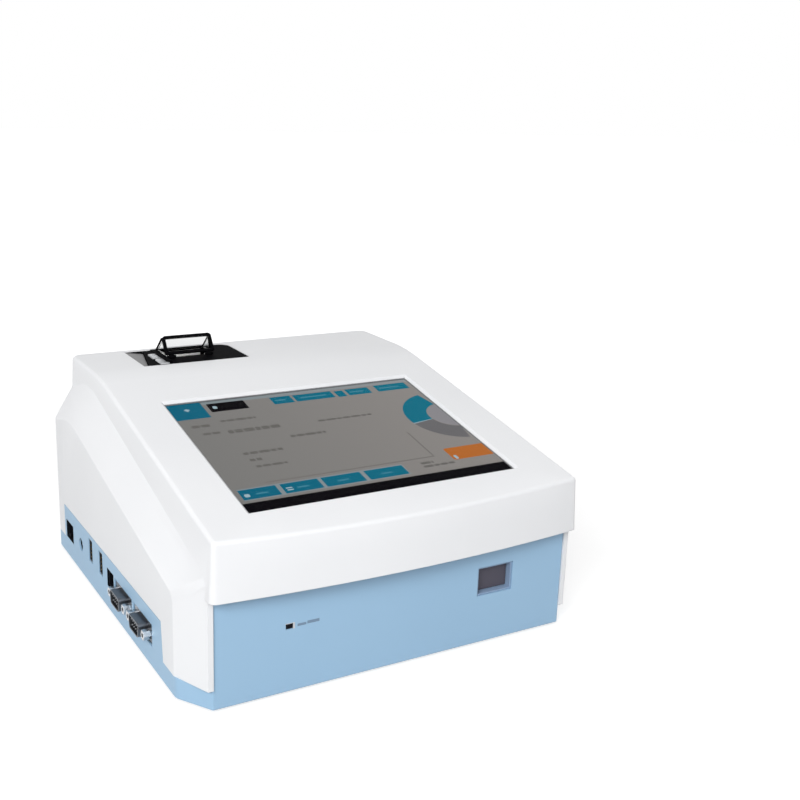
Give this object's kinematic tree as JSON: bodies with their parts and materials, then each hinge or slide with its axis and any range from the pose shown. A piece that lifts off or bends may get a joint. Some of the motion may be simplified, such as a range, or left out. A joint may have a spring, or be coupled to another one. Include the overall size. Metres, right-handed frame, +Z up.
{
  "type": "progesterone analyzer",
  "caption": "Desk-top test card analyzer with a sloping touch screen, a strip printer with a raised window lid, a card slot at the front and sockets down one side.",
  "frame": {"origin": "on the table under the middle of the whole outline, in the plane of the feet's undersides", "axes": "+X to the right seen from the user's side, +Y from the front with the card slot to the back, +Z up"},
  "size_m": [0.2432, 0.2603, 0.1409],
  "materials": {
    "white_housing": "fine satin moulding",
    "blue_housing": "fine satin moulding",
    "foot_rubber": "matt",
    "screw_steel": "zinc plated",
    "black_foam": "matt foam",
    "screen_glass": "polished, clear",
    "lcd_metal": "pressed sheet, lit picture on the front",
    "sheet_metal": "zinc plated sheet",
    "board_green": "lacquered circuit board",
    "brass": "turned",
    "black_plastic": "half gloss",
    "clear_plastic": "clear polycarbonate",
    "platen_rubber": "ground",
    "ground_steel": "ground",
    "gear_plastic": "natural acetal",
    "head_aluminium": "extruded",
    "paper": "thermal paper",
    "grey_plastic": "satin",
    "dark_brown_plastic": "matt",
    "dark_grey_plastic": "satin",
    "motor_black": "satin",
    "lens_glass": "coated",
    "lamp_brass": "turned",
    "socket_black": "moulded",
    "socket_steel": "nickel plated shell",
    "jack_nickel": "nickel plated",
    "lamp_dark": "smoked lens"
  },
  "bodies": {
    "case": {"top_cover": "white_housing", "base_tray": "blue_housing", "rear_panel": "blue_housing", "rubber_feet": "foot_rubber", "case_screws": "screw_steel", "panel_screws": "screw_steel", "glass_gasket": "black_foam", "touch_glass": "screen_glass", "lcd_panel": "lcd_metal", "lcd_bracket": "sheet_metal", "lcd_board": "board_green", "lcd_spacers": "brass", "bracket_screws": "screw_steel", "printer_bezel": "black_plastic", "lid_pin": "screw_steel", "feed_motor": "sheet_metal", "print_head": "head_aluminium", "roll_spindle": "ground_steel", "paper_tape": "paper", "slot_frame": "grey_plastic", "stage_frame": "sheet_metal", "guide_rods": "ground_steel", "screw_bearing": "brass", "stage_motor": "motor_black", "optics_bridge": "sheet_metal", "optical_head": "black_plastic", "objective_lens": "lens_glass", "led_module": "lamp_brass", "detector_board": "board_green", "home_sensor": "black_plastic", "network_port": "socket_black", "power_jack": "socket_black", "usb_port_rear": "socket_steel", "usb_port_front": "socket_steel", "device_port": "socket_black", "serial_port_rear": "socket_steel", "serial_port_front": "socket_steel", "jack_nuts": "jack_nickel", "main_board": "board_green", "board_standoffs": "brass", "board_screws": "screw_steel", "power_board": "board_green", "speaker": "motor_black", "indicator_lens": "lamp_dark", "power_switch": "black_plastic"},
    "lid": {"lid_frame": "black_plastic", "lid_window": "clear_plastic"},
    "platen": {"platen_roller": "platen_rubber", "platen_shaft": "ground_steel", "platen_gear": "gear_plastic"},
    "pinion": {"motor_pinion": "gear_plastic"},
    "roll": {"paper_roll": "paper", "roll_core": "black_plastic"},
    "key": {"feed_key": "grey_plastic"},
    "catch": {"lid_catch": "grey_plastic"},
    "tray": {"card_tray": "dark_brown_plastic", "guide_bushes": "brass", "lead_nut": "brass"},
    "screw": {"lead_screw": "ground_steel"},
    "rocker": {"power_rocker": "dark_grey_plastic"}
  },
  "joints": [
    {"name": "lid_hinge", "type": "hinge", "parent": "case", "child": "lid", "pos_m": [-0.0355, 0.0938, 0.1284], "axis": [1, 0, 0], "range_deg": [-55, 35]},
    {"name": "platen_turn", "type": "hinge", "parent": "case", "child": "platen", "pos_m": [-0.0355, 0.1112, 0.1075], "axis": [1, 0, 0], "continuous": true},
    {"name": "pinion_turn", "type": "hinge", "parent": "case", "child": "pinion", "pos_m": [-0.0135, 0.10338, 0.10202], "axis": [1, 0, 0], "continuous": true},
    {"name": "roll_turn", "type": "hinge", "parent": "case", "child": "roll", "pos_m": [-0.0355, 0.0968, 0.0955], "axis": [1, 0, 0], "continuous": true},
    {"name": "feed_press", "type": "slide", "parent": "case", "child": "key", "axis": [0, 0, -1], "range_m": [0, 0.0008], "stiffness_N_per_m": 400, "springref_m": -0.001},
    {"name": "catch_slide", "type": "slide", "parent": "case", "child": "catch", "axis": [0, 1, 0], "range_m": [0, 0.003], "stiffness_N_per_m": 150, "springref_m": -0.001},
    {"name": "tray_slide", "type": "slide", "parent": "case", "child": "tray", "axis": [0, -1, 0], "range_m": [0, 0.058]},
    {"name": "screw_turn", "type": "hinge", "parent": "case", "child": "screw", "pos_m": [0.0628, -0.0392, 0.0245], "axis": [0, 1, 0], "continuous": true},
    {"name": "rocker_tilt", "type": "hinge", "parent": "case", "child": "rocker", "pos_m": [-0.0475, 0.1254, 0.0395], "axis": [0, 0, 1], "range_deg": [-16, 0]}
  ],
  "couplings": [
    {"joint": "pinion_turn", "follows": "platen_turn", "ratio": -2.8},
    {"joint": "roll_turn", "follows": "platen_turn", "ratio": 0.3684},
    {"joint": "screw_turn", "follows": "tray_slide", "rad_per_m": 1570.8}
  ]
}
